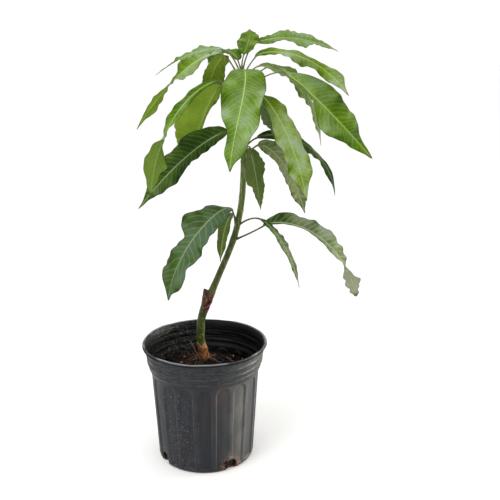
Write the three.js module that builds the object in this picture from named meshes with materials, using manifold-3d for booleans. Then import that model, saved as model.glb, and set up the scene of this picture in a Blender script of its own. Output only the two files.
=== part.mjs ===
// A grafted mango sapling standing in a black nursery pot.
// Millimetres, +Z up. The origin is the centre of the pot's flat underside, and -Y is the front.
import * as THREE from "three";
import { mergeVertices } from "three/addons/utils/BufferGeometryUtils.js";
import Module from "manifold-3d";

const wasm = await Module();
wasm.setup();

const CLEARANCE = 0.3; // between pieces that touch
const radians = THREE.MathUtils.degToRad;
const mix = THREE.MathUtils.lerp;
const smoothstep = THREE.MathUtils.smoothstep;

// ---------------------------------------------------------------- shared helpers

// Repeatable numbers from 0 to 1, from a seed.
function seeded(seed) {
  let state = seed;
  return () => {
    state = (state * 1664525 + 1013904223) % 4294967296;
    return state / 4294967296;
  };
}

// Reads a table of [place, value] pairs at any place, straight between its rows.
function reading(table, place) {
  const after = table.findIndex((row) => row[0] >= place);
  if (after === 0) return table[0][1];
  if (after < 0) return table[table.length - 1][1];
  const [p0, v0] = table[after - 1];
  const [p1, v1] = table[after];
  return mix(v0, v1, (place - p0) / (p1 - p0));
}

// A closed surface from a grid of points: rows of equal length, joined round, with a fan on each end.
function closedTube(rows) {
  const across = rows[0].length;
  const points = rows.flat();
  const faces = [];
  for (let row = 0; row + 1 < rows.length; row++) {
    for (let i = 0; i < across; i++) {
      const a = row * across + i;
      const b = row * across + ((i + 1) % across);
      faces.push(a, b, b + across, a, b + across, a + across);
    }
  }
  const last = (rows.length - 1) * across;
  for (let i = 1; i + 1 < across; i++) {
    faces.push(0, i + 1, i);
    faces.push(last, last + i, last + i + 1);
  }
  return geometryOf(points, faces);
}

function geometryOf(points, faces) {
  const flat = new Float32Array(points.flatMap((p) => [p.x, p.y, p.z]));
  const geometry = new THREE.BufferGeometry();
  geometry.setAttribute("position", new THREE.BufferAttribute(flat, 3));
  geometry.setIndex(faces);
  return geometry;
}

// A manifold-3d solid from a closed geometry, turned right side out.
function solidOf(geometry) {
  const bare = geometry.clone();
  bare.deleteAttribute("normal");
  bare.deleteAttribute("uv");
  const merged = mergeVertices(bare, 1e-4);
  const mesh = { numProp: 3, vertProperties: merged.attributes.position.array };
  const triangles = new Uint32Array(merged.index.array);
  const solid = new wasm.Manifold(new wasm.Mesh({ ...mesh, triVerts: triangles }));
  if (solid.volume() > 0) return solid;
  for (let i = 0; i < triangles.length; i += 3) {
    [triangles[i + 1], triangles[i + 2]] = [triangles[i + 2], triangles[i + 1]];
  }
  return new wasm.Manifold(new wasm.Mesh({ ...mesh, triVerts: triangles }));
}

// The largest body of a solid, so that no scrap is left by a cut.
function largestBody(solid) {
  return solid.decompose().reduce((a, b) => (b.volume() > a.volume() ? b : a));
}

function geometryFrom(solid) {
  const mesh = solid.getMesh();
  const geometry = new THREE.BufferGeometry();
  const positions = new Float32Array(mesh.vertProperties);
  geometry.setAttribute("position", new THREE.BufferAttribute(positions, 3));
  geometry.setIndex(new THREE.BufferAttribute(new Uint32Array(mesh.triVerts), 1));
  geometry.computeVertexNormals();
  return geometry;
}

function ringPoint(radius, angle, z, centreX = 0, centreY = 0) {
  const x = centreX + radius * Math.cos(angle);
  const y = centreY + radius * Math.sin(angle);
  return new THREE.Vector3(x, y, z);
}

const plant = new THREE.Group();

function addPiece(name, geometry, look) {
  const piece = new THREE.Mesh(geometry, new THREE.MeshStandardMaterial(look));
  piece.name = name;
  plant.add(piece);
  return piece;
}

// ---------------------------------------------------------------- pot
// A blow-moulded nursery pot: a rolled lip, three stepped bands, then a tapering wall with arch-topped
// flutes pressed into it, and four drainage holes in the corner between the wall and the floor.

const pot = {
  height: 248,
  lipRadius: 127,
  lipHeight: 6,
  wall: 2,
  floor: 2.4,
  flutes: 18,
  fluteTurn: -87.5, // degrees from +X to the middle of a flute
  fluteDepth: 2.4,
  fluteFoot: 9,
  archFoot: 172, // where a flute's sides end and its round arch begins
  archTop: 189,
  holes: 4,
  holeRadius: 15,
  holeTurn: 34, // degrees from +X to the first hole
};

// Outer radius of the wall at each height, from the flat underside to under the lip.
const potWall = [
  [0, 94],
  [2.5, 97.8],
  [pot.fluteFoot, 99.6],
  [192, 110.6],
  [197, 114.4],
  [206, 115.2],
  [208, 117.6],
  [pot.height - pot.lipHeight, 120],
];

// Places across one flute's pitch, as shares of the pitch, with the depth share at each.
const fluteAcross = [
  [-0.46, 0],
  [-0.37, 1],
  [0.37, 1],
  [0.46, 0],
];

// One row of the wall. Within the arch the flute's sides close in along a half circle.
function potRow(z, inwards) {
  const row = [];
  const pitch = (2 * Math.PI) / pot.flutes;
  const radius = reading(potWall, z);
  const up = Math.min(1, Math.max(0, (z - pot.archFoot) / (pot.archTop - pot.archFoot)));
  const narrowing = Math.max(0.12, Math.sqrt(1 - up * up));
  const pressed = z > pot.fluteFoot && z < pot.archTop ? pot.fluteDepth : 0;
  for (let flute = 0; flute < pot.flutes; flute++) {
    for (const [share, depth] of fluteAcross) {
      const angle = radians(pot.fluteTurn) + (flute + share * narrowing) * pitch;
      row.push(ringPoint(radius - pressed * depth - inwards, angle, z));
    }
  }
  return row;
}

function circleRow(radius, z) {
  const row = [];
  const pitch = (2 * Math.PI) / pot.flutes;
  for (let flute = 0; flute < pot.flutes; flute++) {
    for (const [share] of fluteAcross) {
      row.push(ringPoint(radius, radians(pot.fluteTurn) + (flute + share) * pitch, z));
    }
  }
  return row;
}

function makePotSolid() {
  const heights = potWall.map((row) => row[0]);
  heights.push(pot.fluteFoot + 3, pot.archFoot, mix(pot.archFoot, pot.archTop, 0.6));
  heights.push(mix(pot.archFoot, pot.archTop, 0.9), pot.archTop);
  heights.sort((a, b) => a - b);
  const lipFoot = pot.height - pot.lipHeight;
  const outside = heights.map((z) => potRow(z, 0));
  const lip = [
    circleRow(pot.lipRadius - 1, lipFoot),
    circleRow(pot.lipRadius, lipFoot + 2),
    circleRow(pot.lipRadius - 1, pot.height),
    circleRow(pot.lipRadius - 4.5, pot.height),
  ];
  const inside = heights
    .filter((z) => z > pot.fluteFoot && z !== 192 && z !== 208)
    .map((z) => potRow(z, pot.wall))
    .reverse();
  const floorRow = circleRow(potWall[0][1] - 1, pot.floor);
  const shell = solidOf(closedTube([...outside, ...lip, ...inside, floorRow]));
  const holes = [];
  for (let hole = 0; hole < pot.holes; hole++) {
    const drill = new THREE.SphereGeometry(pot.holeRadius, 10, 6);
    const angle = radians(pot.holeTurn + (360 / pot.holes) * hole);
    const place = ringPoint(101, angle, 9);
    drill.translate(place.x, place.y, place.z);
    holes.push(solidOf(drill));
  }
  return largestBody(shell.subtract(wasm.Manifold.union(holes)));
}

addPiece("pot", geometryFrom(makePotSolid()), { color: 0x2b2c2e, roughness: 0.55 });

// ---------------------------------------------------------------- potting soil
// Bark and peat mix that fills the pot to a mound round the trunk, lower along the wall.

const soil = {
  moundTop: 207.5, // where the trunk's flat foot stands
  moundRadius: 18, // level patch under the trunk
  edge: 176,
  roughness: 2.4,
  segments: 36,
  seed: 11,
};
const soilRadius = (z) => reading(potWall, z) - pot.fluteDepth - pot.wall - CLEARANCE - 0.9;

function makeSoil() {
  const random = seeded(soil.seed);
  const ring = (radius, z, rough) => {
    const row = [];
    for (let i = 0; i < soil.segments; i++) {
      const angle = (2 * Math.PI * i) / soil.segments;
      row.push(ringPoint(radius, angle, z + rough * (2 * random() - 1)));
    }
    return row;
  };
  const foot = pot.floor + CLEARANCE;
  const edgeRadius = soilRadius(soil.edge);
  const rows = [ring(90, foot, 0), ring(soilRadius(14), 14, 0), ring(edgeRadius, soil.edge, 0)];
  for (const share of [0.86, 0.66, 0.46, 0.28]) {
    const rise = (1 - share) ** 1.3 / (1 - 0.28) ** 1.3;
    const z = mix(soil.edge + 2, soil.moundTop - 2, rise);
    rows.push(ring(edgeRadius * share, z, soil.roughness));
  }
  rows.push(ring(soil.moundRadius, soil.moundTop, 0));
  return closedTube(rows);
}

addPiece("potting_soil", makeSoil(), { color: 0x2a1d16, roughness: 0.95 });

// ---------------------------------------------------------------- trunk
// The rootstock rises from its root flare to a graft union, where its cut stub stands beside the scion.
// The scion leans right to an old node, bends upright there, and tapers to the bud inside the crown.

const trunkFoot = soil.moundTop + CLEARANCE;
const trunkTip = 796;

// Centre of the stem from left to right at each height. It stands in the plane y = 0.
const trunkLine = new THREE.CatmullRomCurve3(
  [
    [0, trunkFoot],
    [-3, 225],
    [-8, 248],
    [-8, 272],
    [-6, 294],
    [0, 315],
    [9, 338],
    [27, 380],
    [62, 468],
    [76, 535],
    [81, 620],
    [80, 700],
    [77, trunkTip],
  ].map(([x, z]) => new THREE.Vector3(x, 0, z)),
  false,
  "centripetal",
);

const trunkRadius = [
  [trunkFoot, 13],
  [213, 11.2],
  [222, 10.2],
  [238, 9.6],
  [246, 8.8],
  [300, 8.4],
  [318, 9.6],
  [332, 10.2],
  [346, 9],
  [362, 7.8],
  [385, 7],
  [452, 6.5],
  [464, 7.3],
  [474, 6.4],
  [560, 5.9],
  [630, 5.7],
  [645, 6.3],
  [662, 5.3],
  [735, 4.7],
  [776, 4],
  [788, 3],
  [trunkTip, 1],
];

// The stem's centre at a height.
function stemCentre(z) {
  let low = 0;
  let high = 1;
  for (let i = 0; i < 30; i++) {
    const middle = (low + high) / 2;
    if (trunkLine.getPoint(middle).z < z) low = middle;
    else high = middle;
  }
  return trunkLine.getPoint(low);
}

const stub = { foot: 316, top: 357, radius: 5.5, x: -2, lean: 7 };

function makeTrunkSolid(grow) {
  const sides = 12;
  const heights = trunkRadius.map((row) => row[0]);
  heights.push(230, 258, 272, 286, 308, 325, 374, 400, 430, 495, 525, 590, 695);
  heights.sort((a, b) => a - b);
  const rows = heights.map((z) => {
    const centre = stemCentre(z);
    const flare = 1 - smoothstep(z, trunkFoot, trunkFoot + 16);
    const row = [];
    for (let i = 0; i < sides; i++) {
      const angle = (2 * Math.PI * i) / sides;
      const lobes = 1 + 0.14 * flare * Math.cos(5 * angle + 0.8);
      const radius = reading(trunkRadius, z) * lobes + grow;
      const top = z === trunkTip ? grow : 0;
      row.push(ringPoint(radius, angle, z + top, centre.x, centre.y));
    }
    return row;
  });
  const stem = solidOf(closedTube(rows));
  const snagRows = [
    [stub.foot, 0],
    [stub.top, stub.lean],
  ].map(([z, lean]) => {
    const row = [];
    for (let i = 0; i < 8; i++) {
      const cut = z === stub.top ? -2.5 * Math.cos((2 * Math.PI * i) / 8) : 0;
      const radius = stub.radius + grow;
      row.push(ringPoint(radius, (2 * Math.PI * i) / 8, z + cut, stub.x + lean, 0));
    }
    return row;
  });
  return stem.add(solidOf(closedTube(snagRows)));
}

const barkLook = { color: 0x5d7038, roughness: 0.7 };
addPiece("trunk", geometryFrom(makeTrunkSolid(0)), barkLook);
const trunkKeepOut = makeTrunkSolid(CLEARANCE);

// ---------------------------------------------------------------- leaves
// A leaf is a petiole that leaves the stem at a height and a heading, and a blade that droops from its
// end. Headings are degrees from +X, anticlockwise seen from above, so -90 faces the front. "rise" is
// the petiole's slope at the stem, "level" the slope where the blade starts and "fall" its slope at the
// tip. "sweep" turns the blade sideways by its tip, "roll" tips it round its midrib, "twist" adds to
// the roll by the tip round the place "twistAt", and "wave" is the height of its margin's waves as a
// share of its half width. "point" is how fast it narrows to its tip. Each of its "edges" is a bulge or,
// below zero, a hollow of one margin: the margin's hand, its place along the blade, its spread and depth.

const usualLeaf = {
  petiole: 42,
  rise: 45,
  level: 10,
  fall: -75,
  bend: 0.75,
  sweep: 0,
  length: 230,
  width: 66,
  widest: 0.42,
  point: 0.75,
  roll: 0,
  twist: 0,
  twistAt: 0.55,
  fold: 14,
  wave: 0.14,
  waves: 3,
  phase: 0,
  edges: [],
};

const youngGreen = 0x6f9a3c;
const fullGreen = 0x4f8a2c;
const darkGreen = 0x27521f;
const duskGreen = 0x4c6640;

const leaves = [
  // The crown: the young flush round the bud.
  { name: "crown_leaf_01", green: fullGreen, at: 768, heading: -82, rise: 50, level: -12, fall: -85,
    bend: 0.6, sweep: -62, length: 215, width: 82, widest: 0.38, point: 0.6,
    edges: [[-1, 0.7, 0.13, -0.5], [-1, 0.9, 0.06, 0.2], [1, 0.74, 0.16, 0.3], [1, 0.88, 0.08, 0.3]] },
  { name: "crown_leaf_02", green: fullGreen, at: 742, heading: -17, petiole: 90, rise: 43, level: -7,
    fall: -48, bend: 0.15, sweep: 7, length: 230, width: 74, widest: 0.55, roll: 48,
    edges: [[-1, 0.2, 0.25, -0.95], [-1, 0.58, 0.12, 0.4], [-1, 0.78, 0.1, -0.3], [1, 0.25, 0.12, 0.4],
    [1, 0.46, 0.1, 0.05], [1, 0.83, 0.12, -0.6]] },
  { name: "crown_leaf_03", green: youngGreen, at: 763, heading: 8, petiole: 46, rise: 58, level: 12,
    fall: -84, bend: 0.5, sweep: -10, length: 210, width: 46, roll: 20, edges: [[-1, 0.4, 0.3, 0.05],
    [1, 0.6, 0.25, 0.5]] },
  { name: "crown_leaf_04", green: youngGreen, at: 773, heading: 0, petiole: 44, rise: 60, level: 49,
    fall: -45, bend: 0.37, sweep: -51, length: 212, width: 50, roll: 24, wave: 0.18,
    edges: [[-1, 0.15, 0.15, -0.4], [1, 0.5, 0.4, -0.4], [1, 0.45, 0.08, -0.35], [1, 0.83, 0.08, 0.5]] },
  { name: "crown_leaf_05", green: fullGreen, at: 778, heading: 42, petiole: 72, rise: 74, level: 15,
    fall: -24, bend: 0.9, sweep: -21, length: 202, width: 58, roll: 28, wave: 0.12,
    edges: [[1, 0.14, 0.2, -0.5], [1, 0.42, 0.06, -0.15], [1, 0.6, 0.1, 0.25], [1, 0.78, 0.06, -0.3],
    [1, 0.87, 0.05, 0.5], [-1, 0.25, 0.14, -0.5], [-1, 0.5, 0.1, 0.3], [-1, 0.76, 0.1, -0.4]] },
  { name: "crown_leaf_06", green: youngGreen, at: 790, heading: 48, petiole: 26, rise: 82, level: 60,
    fall: 34, bend: 1, sweep: 52, length: 64, width: 43, point: 0.95 },
  { name: "crown_leaf_07", green: fullGreen, at: 774, heading: -147, petiole: 64, rise: 66, level: 20,
    fall: -38, bend: 0.5, sweep: -20, length: 143, width: 34, roll: -20, twist: 24, twistAt: 0.6,
    edges: [[-1, 0.5, 0.3, -0.3]] },
  { name: "crown_leaf_08", green: youngGreen, at: 765, heading: 172, petiole: 65, rise: 62, level: 34,
    fall: -58, bend: 0.22, sweep: 7, length: 228, width: 54, roll: -45, twist: 85, twistAt: 0.53,
    wave: 0.22, edges: [[1, 0.15, 0.15, -0.6], [1, 0.4, 0.12, 0.2], [1, 0.75, 0.2, -0.6],
    [-1, 0.75, 0.15, -0.2]] },
  { name: "crown_leaf_09", green: youngGreen, at: 748, heading: 144, petiole: 74, rise: 68, level: 39,
    fall: -86, bend: 0.22, sweep: -30, length: 135, width: 64, roll: 12, edges: [[1, 0.45, 0.4, -0.45],
    [-1, 0.35, 0.3, -0.1]] },
  { name: "crown_leaf_10", green: fullGreen, at: 742, heading: -155, petiole: 55, rise: 41, level: 0,
    fall: -85, bend: 0.5, sweep: -3, length: 263, width: 60, widest: 0.55, point: 0.55, roll: -35,
    twist: 85, twistAt: 0.52, edges: [[-1, 0.15, 0.1, -0.3], [-1, 0.3, 0.12, -0.6],
    [1, 0.25, 0.25, -0.65], [-1, 0.88, 0.12, 0.75], [1, 0.9, 0.12, 0.5]] },
  { name: "crown_leaf_11", green: youngGreen, at: 731, heading: 151, petiole: 58, rise: 52, level: -24,
    fall: -71, bend: 0.2, sweep: -15, length: 184, width: 66, roll: 30, edges: [[-1, 0.45, 0.4, -0.8],
    [1, 0.5, 0.4, 0.7]] },
  { name: "crown_leaf_12", green: youngGreen, at: 730, heading: -52, petiole: 54, rise: 32, level: -16,
    fall: -77, bend: 0.5, sweep: 14, length: 226, width: 60, widest: 0.58, roll: 10,
    edges: [[1, 0.14, 0.12, 0.9], [1, 0.42, 0.12, -0.15]] },
  { name: "crown_leaf_13", green: youngGreen, at: 722, heading: -48, petiole: 40, rise: 30, level: -10,
    fall: -76, bend: 0.5, sweep: 20, length: 118, width: 50, roll: 10 },
  { name: "crown_leaf_14", green: fullGreen, at: 744, heading: 120, petiole: 34, rise: 40, level: -30,
    fall: -88, bend: 0.6, length: 80, width: 34, roll: -20 },
  { name: "crown_leaf_15", green: fullGreen, at: 779, heading: 132, petiole: 28, rise: 72, level: 58,
    fall: -50, bend: 0.7, length: 102, width: 50 },
  { name: "crown_leaf_16", green: fullGreen, at: 752, heading: 34, petiole: 74, rise: 42, level: 14,
    fall: -66, bend: 0.6, length: 140, width: 42 },
  { name: "crown_leaf_17", green: fullGreen, at: 746, heading: 84, petiole: 46, rise: 58, level: 10,
    fall: -84, bend: 0.5, length: 165, width: 54 },
  { name: "crown_leaf_18", green: fullGreen, at: 736, heading: 97, petiole: 46, rise: 48, level: 5,
    fall: -84, bend: 0.5, length: 150, width: 50 },
  // The middle flush: older, darker leaves.
  { name: "middle_leaf_01", green: darkGreen, at: 646, heading: -176, petiole: 42, rise: 57, level: 3,
    fall: -52, bend: 0.25, sweep: -6, length: 233, width: 80, roll: -44, edges: [[1, 0.3, 0.3, -0.45],
    [1, 0.87, 0.07, -0.45], [-1, 0.92, 0.08, -0.4]] },
  { name: "middle_leaf_02", green: darkGreen, at: 642, heading: 8, petiole: 32, rise: 46, level: 19,
    fall: -86, bend: 0.85, sweep: -14, length: 220, width: 44, roll: 28, edges: [[1, 0.55, 0.3, -0.75]] },
  { name: "middle_leaf_03", green: darkGreen, at: 636, heading: 65, petiole: 31, rise: 30, level: -54,
    fall: -84, bend: 0.4, sweep: -38, length: 134, width: 56, edges: [[1, 0.5, 0.4, 0.35],
    [-1, 0.6, 0.3, -0.3]] },
  { name: "middle_leaf_04", green: duskGreen, at: 630, heading: -18, petiole: 34, rise: 36, level: 32,
    fall: -76, bend: 0.25, sweep: 6, length: 168, width: 50, roll: 48, edges: [[-1, 0.35, 0.3, -0.5]] },
  // The lowest leaves, at the old node where the stem bends.
  { name: "lower_leaf_01", green: darkGreen, at: 478, heading: -117, petiole: 50, rise: 84, level: 43,
    fall: -82, bend: 0.43, sweep: -66, length: 250, width: 64, widest: 0.6, point: 0.42, roll: -20,
    edges: [[-1, 0.06, 0.09, -0.7], [-1, 0.17, 0.06, 0.7], [-1, 0.4, 0.09, 0.8], [-1, 0.52, 0.05, -0.4],
    [-1, 0.62, 0.08, -0.15], [-1, 0.88, 0.12, 1.2], [1, 0.6, 0.35, 0.2], [1, 0.78, 0.08, 0.3],
    [1, 0.88, 0.1, 0.6]] },
  { name: "lower_leaf_02", green: darkGreen, at: 488, heading: 119, petiole: 32, rise: 72, level: -5,
    fall: -78, bend: 0.3, sweep: -13, length: 140, width: 26 },
  { name: "lower_leaf_03", green: duskGreen, at: 460, heading: -14, petiole: 68, rise: 26, level: 34,
    fall: -80, bend: 0.6, sweep: 20, length: 264, width: 46, widest: 0.55, point: 0.5, roll: 52,
    twist: -120, twistAt: 0.76, edges: [[-1, 0.3, 0.42, -0.85], [1, 0.12, 0.14, 0.5],
    [1, 0.92, 0.08, 0.8], [-1, 0.92, 0.08, 0.8]] },
  { name: "lower_leaf_04", green: duskGreen, at: 490, heading: -36, petiole: 58, rise: 34, level: -8,
    fall: -78, bend: 0.5, sweep: 10, length: 160, width: 20, roll: 10 },
].map((leaf) => ({ ...usualLeaf, ...leaf }));

const petioleSteps = 9;
const bladeSteps = 40;

// The leaf's midrib as small steps, each with its place, its side and its upper face's direction.
function midribOf(leaf) {
  const place = stemCentre(leaf.at).clone();
  const steps = [];
  for (let i = 0; i <= petioleSteps + bladeSteps; i++) {
    const onBlade = i > petioleSteps;
    const along = onBlade ? (i - petioleSteps) / bladeSteps : 0;
    const slope = onBlade
      ? mix(leaf.level, leaf.fall, along ** leaf.bend)
      : mix(leaf.rise, leaf.level, (i / petioleSteps) ** 2);
    const heading = radians(leaf.heading + leaf.sweep * along);
    const turn = smoothstep(along, leaf.twistAt - 0.22, leaf.twistAt + 0.22);
    const roll = radians(leaf.roll * Math.min(1, i / petioleSteps) + leaf.twist * turn);
    const tilt = radians(slope);
    const ahead = new THREE.Vector3(
      Math.cos(tilt) * Math.cos(heading),
      Math.cos(tilt) * Math.sin(heading),
      Math.sin(tilt),
    );
    const level = new THREE.Vector3(-Math.sin(heading), Math.cos(heading), 0);
    const up = new THREE.Vector3().crossVectors(ahead, level);
    const side = level.clone().multiplyScalar(Math.cos(roll)).addScaledVector(up, Math.sin(roll));
    const face = new THREE.Vector3().crossVectors(ahead, side);
    steps.push({ place: place.clone(), side, face, along });
    const step = i < petioleSteps ? leaf.petiole / petioleSteps : leaf.length / bladeSteps;
    place.addScaledVector(ahead, step);
  }
  return steps;
}

// Half the blade's width at a share of its length: widest at its own place, drawn out to a drip tip.
function halfWidth(leaf, along) {
  const ahead = leaf.point;
  const behind = (ahead * leaf.widest) / (1 - leaf.widest);
  const swell = along ** behind * (1 - along) ** ahead;
  const most = leaf.widest ** behind * (1 - leaf.widest) ** ahead;
  const drawn = 1 - 0.5 * smoothstep(along, 0.8, 0.96);
  return Math.max(0.9, (0.5 * leaf.width * drawn * swell) / most);
}

// A point of the blade: along from its base to its tip, across from -1 to 1, and above its middle plane.
function bladePoint(leaf, step, across, above) {
  const fold = radians(leaf.fold);
  const side = Math.sign(across);
  let reach = halfWidth(leaf, step.along);
  for (const [hand, at, spread, wider] of leaf.edges) {
    if (hand === side) reach *= 1 + wider * Math.exp(-(((step.along - at) / spread) ** 2));
  }
  const turns = 2 * Math.PI * (leaf.waves * step.along + leaf.phase + (side > 0 ? 0 : 0.37));
  const ends = Math.sin(Math.PI * step.along) ** 0.5;
  const margin = leaf.wave * reach * ends * Math.abs(across) ** 1.6 * Math.sin(turns);
  const camber = -0.16 * reach * across * across;
  const lift = reach * Math.abs(across) * Math.sin(fold) + margin + camber + above;
  return step.place
    .clone()
    .addScaledVector(step.side, reach * across * Math.cos(fold))
    .addScaledVector(step.face, lift);
}

const bladeStations = 13;
const bladeAcross = [-1, 0, 1];
const bladeThickness = 0.0108; // of the whole leaf's length, petiole and blade
const petioleRadius = [
  [0, 2.4],
  [0.2, 1.9],
  [0.8, 1.5],
  [1, 1.6],
];
const petioleSides = 5;
const petioleSunk = 0.16; // of the blade's length, in which the petiole runs on as its rib

function bladeOf(leaf, steps) {
  const half = (bladeThickness * (leaf.petiole + leaf.length)) / 2;
  const rows = [];
  for (let i = 0; i <= bladeStations; i++) {
    const index = petioleSteps + Math.round((bladeSteps * i) / bladeStations);
    const upper = bladeAcross.map((across) => bladePoint(leaf, steps[index], across, half));
    const lower = bladeAcross.map((across) => bladePoint(leaf, steps[index], across, -half));
    rows.push([...upper, ...lower.reverse()]);
  }
  return closedTube(rows);
}

function petioleOf(leaf, steps) {
  const reach = petioleSteps + Math.round(bladeSteps * petioleSunk);
  const rows = [];
  for (let i = 0; i <= reach; i += 3) {
    const step = steps[i];
    const thinning = mix(1, 0.7, step.along / petioleSunk);
    const radius = reading(petioleRadius, Math.min(1, i / petioleSteps)) * thinning;
    const row = [];
    for (let k = 0; k < petioleSides; k++) {
      const angle = (2 * Math.PI * k) / petioleSides;
      row.push(
        step.place
          .clone()
          .addScaledVector(step.side, radius * Math.cos(angle))
          .addScaledVector(step.face, radius * Math.sin(angle)),
      );
    }
    rows.push(row);
  }
  return closedTube(rows);
}

for (const leaf of leaves) {
  const steps = midribOf(leaf);
  const whole = solidOf(bladeOf(leaf, steps)).add(solidOf(petioleOf(leaf, steps)));
  const cut = largestBody(whole.subtract(trunkKeepOut));
  addPiece(leaf.name, geometryFrom(cut), { color: leaf.green, roughness: 0.5 });
}

export default plant;
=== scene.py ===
# A grafted mango sapling in a black nursery pot, dressed round its construction model.
# Sizes are in millimetres, and a piece's mesh turns them into Blender's metres as it is made.
import math
import random

import bmesh
import bpy
import numpy as np
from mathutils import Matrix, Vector, noise


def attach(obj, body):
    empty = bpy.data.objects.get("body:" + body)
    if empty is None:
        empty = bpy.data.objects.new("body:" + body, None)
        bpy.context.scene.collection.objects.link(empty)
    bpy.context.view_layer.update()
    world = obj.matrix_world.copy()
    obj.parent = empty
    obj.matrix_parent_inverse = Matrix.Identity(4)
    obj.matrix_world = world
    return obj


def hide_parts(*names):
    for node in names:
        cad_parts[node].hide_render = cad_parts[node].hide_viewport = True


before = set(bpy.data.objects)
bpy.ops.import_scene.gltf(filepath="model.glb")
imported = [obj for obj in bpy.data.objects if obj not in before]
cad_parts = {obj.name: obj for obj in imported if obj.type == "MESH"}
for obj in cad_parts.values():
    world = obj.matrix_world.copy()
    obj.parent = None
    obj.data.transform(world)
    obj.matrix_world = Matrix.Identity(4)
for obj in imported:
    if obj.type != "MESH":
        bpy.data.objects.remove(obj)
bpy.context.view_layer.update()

# ---------------------------------------------------------------- camera
# It stands a step in front of the plant, a little right of the pot, and looks slightly down.

camera_pitch = 15.5  # degrees below level
camera_data = bpy.data.cameras.new("camera")
camera_data.lens = 54
camera_data.sensor_width = 36
camera = bpy.data.objects.new("camera", camera_data)
camera.location = (0.093, -1.433, 0.838)
camera.rotation_euler = (math.radians(90 - camera_pitch), 0, 0)
bpy.context.scene.collection.objects.link(camera)
bpy.context.scene.camera = camera

# ---------------------------------------------------------------- nursery pot
# A blow-moulded container of black polyethylene, with a rolled lip, two stepped bands, eighteen
# arch-topped flutes and four drainage holes in its foot. It is one skin, scuffed and stained with use,
# with a painted sheen on its right side, painted highlights on its edges and painted shade under its lip and
# hoops.

MM = 0.001  # a millimetre in Blender's metres
pot_height = 248
floor_top = 2.4
pot_wall = 2.0
flutes = 18
flute_turn = math.radians(-87.5)  # from +X to the middle of a flute
flute_pitch = 2 * math.pi / flutes
flute_depth = 2.4
flute_half = 15.2  # half a flute's width
flute_foot, arch_foot, arch_top = 9, 172, 189
base_profile = [(3, 0), (58, 0), (60, 0.7), (63, 0.7), (65, 0), (91, 0)]  # radii and heights
wall_profile = np.array(
    [(0, 94), (2.5, 97.8), (9, 99.6), (192, 110.6), (197, 114.4), (206, 115.2), (208, 117.6), (242, 120)]
)
lip_profile = [(121.2, 242.2), (124.6, 242.3), (126.3, 242.9), (127, 244.4), (126.9, 246.2), (126, 247.6)]
lip_profile += [(124.4, 248), (122.8, 247.7), (121.4, 246.6), (120.3, 244.8), (119.2, 242.6)]
body_height, body_radius = wall_profile[3]
band_radius = 118
hoop_heights = (200, 214, 227)
hoop_rise, hoop_half = 1.2, 1.5
dent_depth = 1.1
hole_count = 4
hole_radius = 15
hole_turn = math.radians(34)
hole_ring, hole_height = 101, 9
pot_columns = flutes * 28


def smooth_share(value, start, end):
    """0 up to start, 1 from end on, and a smooth rise between them."""
    share = np.clip((value - start) / (end - start), 0, 1)
    return share * share * (3 - 2 * share)


def wall_radius(z):
    """The wall's outer radius at a height: creases rounded over, and three raised hoops under the lip."""
    nearby = [np.interp(z + step, *wall_profile.T) for step in (-1.2, -0.6, 0, 0.6, 1.2)]
    hoops = sum(math.exp(-(((z - height) / hoop_half) ** 2)) for height in hoop_heights)
    return sum(nearby) / len(nearby) + hoop_rise * hoops


def flute_press(angles, z):
    """How far the wall is pressed in: straight-sided flutes under a round arch."""
    share = ((angles - flute_turn) / flute_pitch + 0.5) % 1 - 0.5
    across = np.abs(share) * flute_pitch * body_radius / flute_half
    above = max(0.0, (z - arch_foot) / (arch_top - arch_foot))
    inside = np.minimum((1 - np.hypot(across, above)) * flute_half, z - flute_foot)
    return flute_depth * smooth_share(inside, -1.0, 2.4)


def turns_round(count):
    """Evenly spaced directions round an axis."""
    return np.arange(count) / count * 2 * math.pi


def ring(radius, z, columns=pot_columns):
    """A ring of points round the pot's axis, of one radius or of one for each column."""
    angles = turns_round(columns)
    radius = radius + np.zeros(columns)
    return np.stack([radius * np.cos(angles), radius * np.sin(angles), z + np.zeros(columns)], axis=1)


def wall_ring(z, inwards=0.0):
    return ring(wall_radius(z) - flute_press(turns_round(pot_columns), z) - inwards, z)


def tube_faces(rows, columns):
    """The faces of rows of points joined round, with both ends closed by one face."""
    faces = []
    for low in range(0, (rows - 1) * columns, columns):
        for i in range(columns):
            j = (i + 1) % columns
            faces.append((low + i, low + j, low + columns + j, low + columns + i))
    faces.append(tuple(reversed(range(columns))))
    faces.append(tuple(range((rows - 1) * columns, rows * columns)))
    return faces


def mesh_piece(name, points, faces, *materials):
    """A smooth-shaded mesh object from points in millimetres."""
    mesh = bpy.data.meshes.new(name)
    mesh.from_pydata((np.asarray(points) * MM).tolist(), [], faces)
    mesh.polygons.foreach_set("use_smooth", [True] * len(mesh.polygons))
    for material in materials:
        mesh.materials.append(material)
    piece = bpy.data.objects.new(name, mesh)
    bpy.context.scene.collection.objects.link(piece)
    return piece


def set_numbers(piece, domain="POINT", **layers):
    """Stores numbers by name, one for each point or face, for the piece's material to read."""
    for name, values in layers.items():
        layer = piece.data.attributes.new(name, "FLOAT", domain)
        layer.data.foreach_set("value", np.asarray(values, dtype=np.float32).ravel())


def linear(shade):
    """A colour for a shader socket from a shade written as 0xrrggbb."""
    parts = [(shade >> shift & 255) / 255 for shift in (16, 8, 0)]
    return [p / 12.92 if p <= 0.04045 else ((p + 0.055) / 1.055) ** 2.4 for p in parts] + [1.0]


def add(tree, kind, inputs, **settings):
    """A shader node with its settings, its inputs linked to sockets or set to plain values."""
    node = tree.nodes.new("ShaderNode" + kind)
    for name, value in settings.items():
        setattr(node, name, value)
    for key, value in inputs.items():
        if isinstance(value, bpy.types.NodeSocket):
            tree.links.new(value, node.inputs[key])
        else:
            node.inputs[key].default_value = value
    return node


def reckon(tree, operation, first, second=0.0):
    return add(tree, "Math", {0: first, 1: second}, operation=operation).outputs[0]


def stored(tree, name):
    """A number that the mesh stores."""
    return add(tree, "Attribute", {}, attribute_name=name).outputs["Fac"]


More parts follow.
